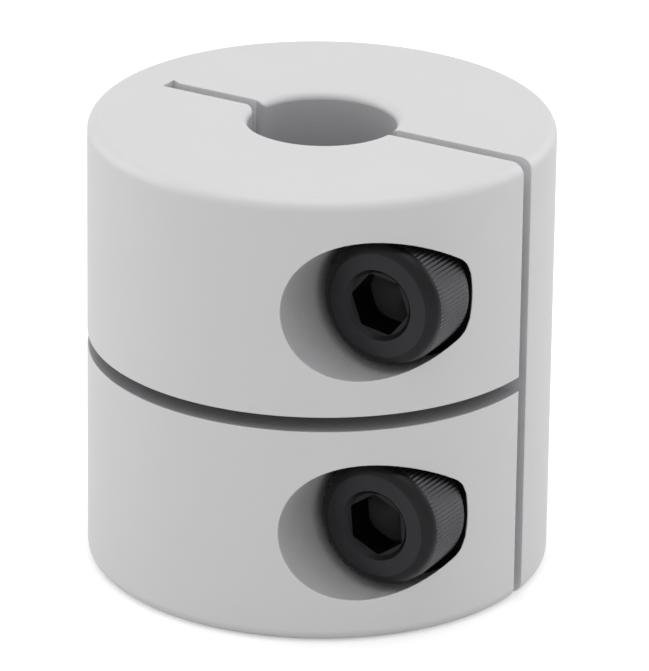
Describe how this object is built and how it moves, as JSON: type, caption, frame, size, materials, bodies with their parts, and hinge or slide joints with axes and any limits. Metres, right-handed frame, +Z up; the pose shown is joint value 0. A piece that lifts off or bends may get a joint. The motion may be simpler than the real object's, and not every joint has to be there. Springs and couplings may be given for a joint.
{
  "type": "rigid shaft coupling",
  "caption": "Rigid shaft coupling: a slit aluminium cylinder with a through bore, clamped at each end by a socket head screw in a counterbore.",
  "frame": {"origin": "middle of the lower end face, on the shaft axis", "axes": "+Z up along the shaft axis, +X out of the open slit, -Y towards the screw heads"},
  "size_m": [0.025, 0.025, 0.025],
  "materials": {
    "body": "bead-blasted, clear anodised",
    "screws": "black oxide"
  },
  "bodies": {
    "root": {"coupling_body": "body", "upper_clamp_screw": "screws", "lower_clamp_screw": "screws"}
  },
  "joints": []
}
